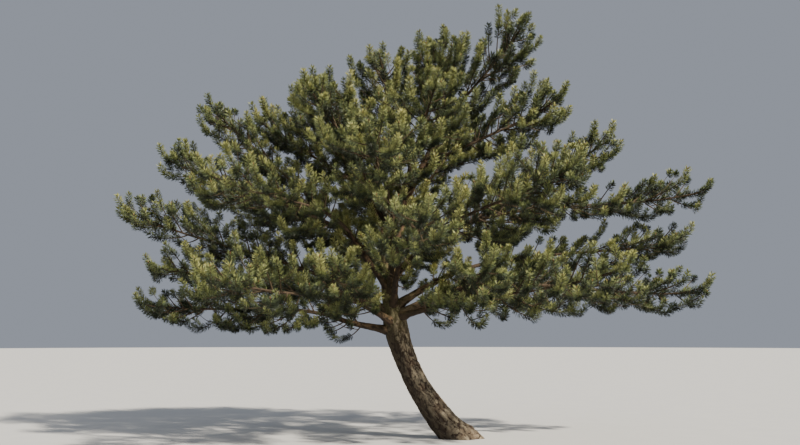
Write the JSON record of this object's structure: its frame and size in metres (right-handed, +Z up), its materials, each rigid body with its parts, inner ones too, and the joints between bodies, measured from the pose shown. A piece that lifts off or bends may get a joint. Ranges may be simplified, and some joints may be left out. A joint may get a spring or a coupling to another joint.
{
  "type": "scots pine tree",
  "caption": "Evergreen pine tree with a leaning trunk, a low fork, wide spreading boughs and dense upturned tufts of needles.",
  "frame": {"origin": "middle of the flat cut under the trunk, at ground level", "axes": "+Z is up along the tree's height, +X is to the right of its front, and its front faces -Y"},
  "size_m": [5.8643, 4.4364, 4.1905],
  "materials": {
    "bark_low": "rough furrowed bark",
    "bark_high": "flaky orange-brown bark",
    "needles": "waxy evergreen needles"
  },
  "bodies": {
    "root": {"trunk": "bark_low", "bough_crown_left": "bark_high", "bough_crown_mid": "bark_high", "bough_high_1": "bark_high", "bough_high_2": "bark_high", "bough_high_3": "bark_high", "bough_high_4": "bark_high", "bough_left_high": "bark_high", "bough_left_low": "bark_high", "bough_left_mid": "bark_high", "bough_low_1": "bark_high", "bough_low_2": "bark_high", "bough_low_3": "bark_high", "bough_low_4": "bark_high", "bough_low_5": "bark_high", "bough_low_6": "bark_high", "bough_mid_1": "bark_high", "bough_mid_2": "bark_high", "bough_mid_3": "bark_high", "bough_mid_4": "bark_high", "bough_mid_5": "bark_high", "bough_mid_6": "bark_high", "bough_plume": "bark_high", "bough_right_high": "bark_high", "bough_right_low": "bark_high", "bough_right_mid": "bark_high", "bough_top": "bark_high", "needles_crown_left": "needles", "needles_crown_mid": "needles", "needles_front_left": "needles", "needles_front_right": "needles", "needles_high_1": "needles", "needles_high_2": "needles", "needles_high_3": "needles", "needles_high_4": "needles", "needles_left_arm": "needles", "needles_left_high": "needles", "needles_left_knee": "needles", "needles_left_low": "needles", "needles_left_spire": "needles", "needles_low_1": "needles", "needles_low_2": "needles", "needles_low_3": "needles", "needles_low_4": "needles", "needles_low_5": "needles", "needles_low_6": "needles", "needles_mid_1": "needles", "needles_mid_2": "needles", "needles_mid_3": "needles", "needles_mid_4": "needles", "needles_mid_5": "needles", "needles_mid_6": "needles", "needles_right_arm": "needles", "needles_right_high": "needles", "needles_right_low": "needles", "needles_right_mid": "needles", "needles_right_plume": "needles", "needles_shoulder": "needles", "needles_top": "needles", "needles_top_plume": "needles"}
  },
  "joints": []
}
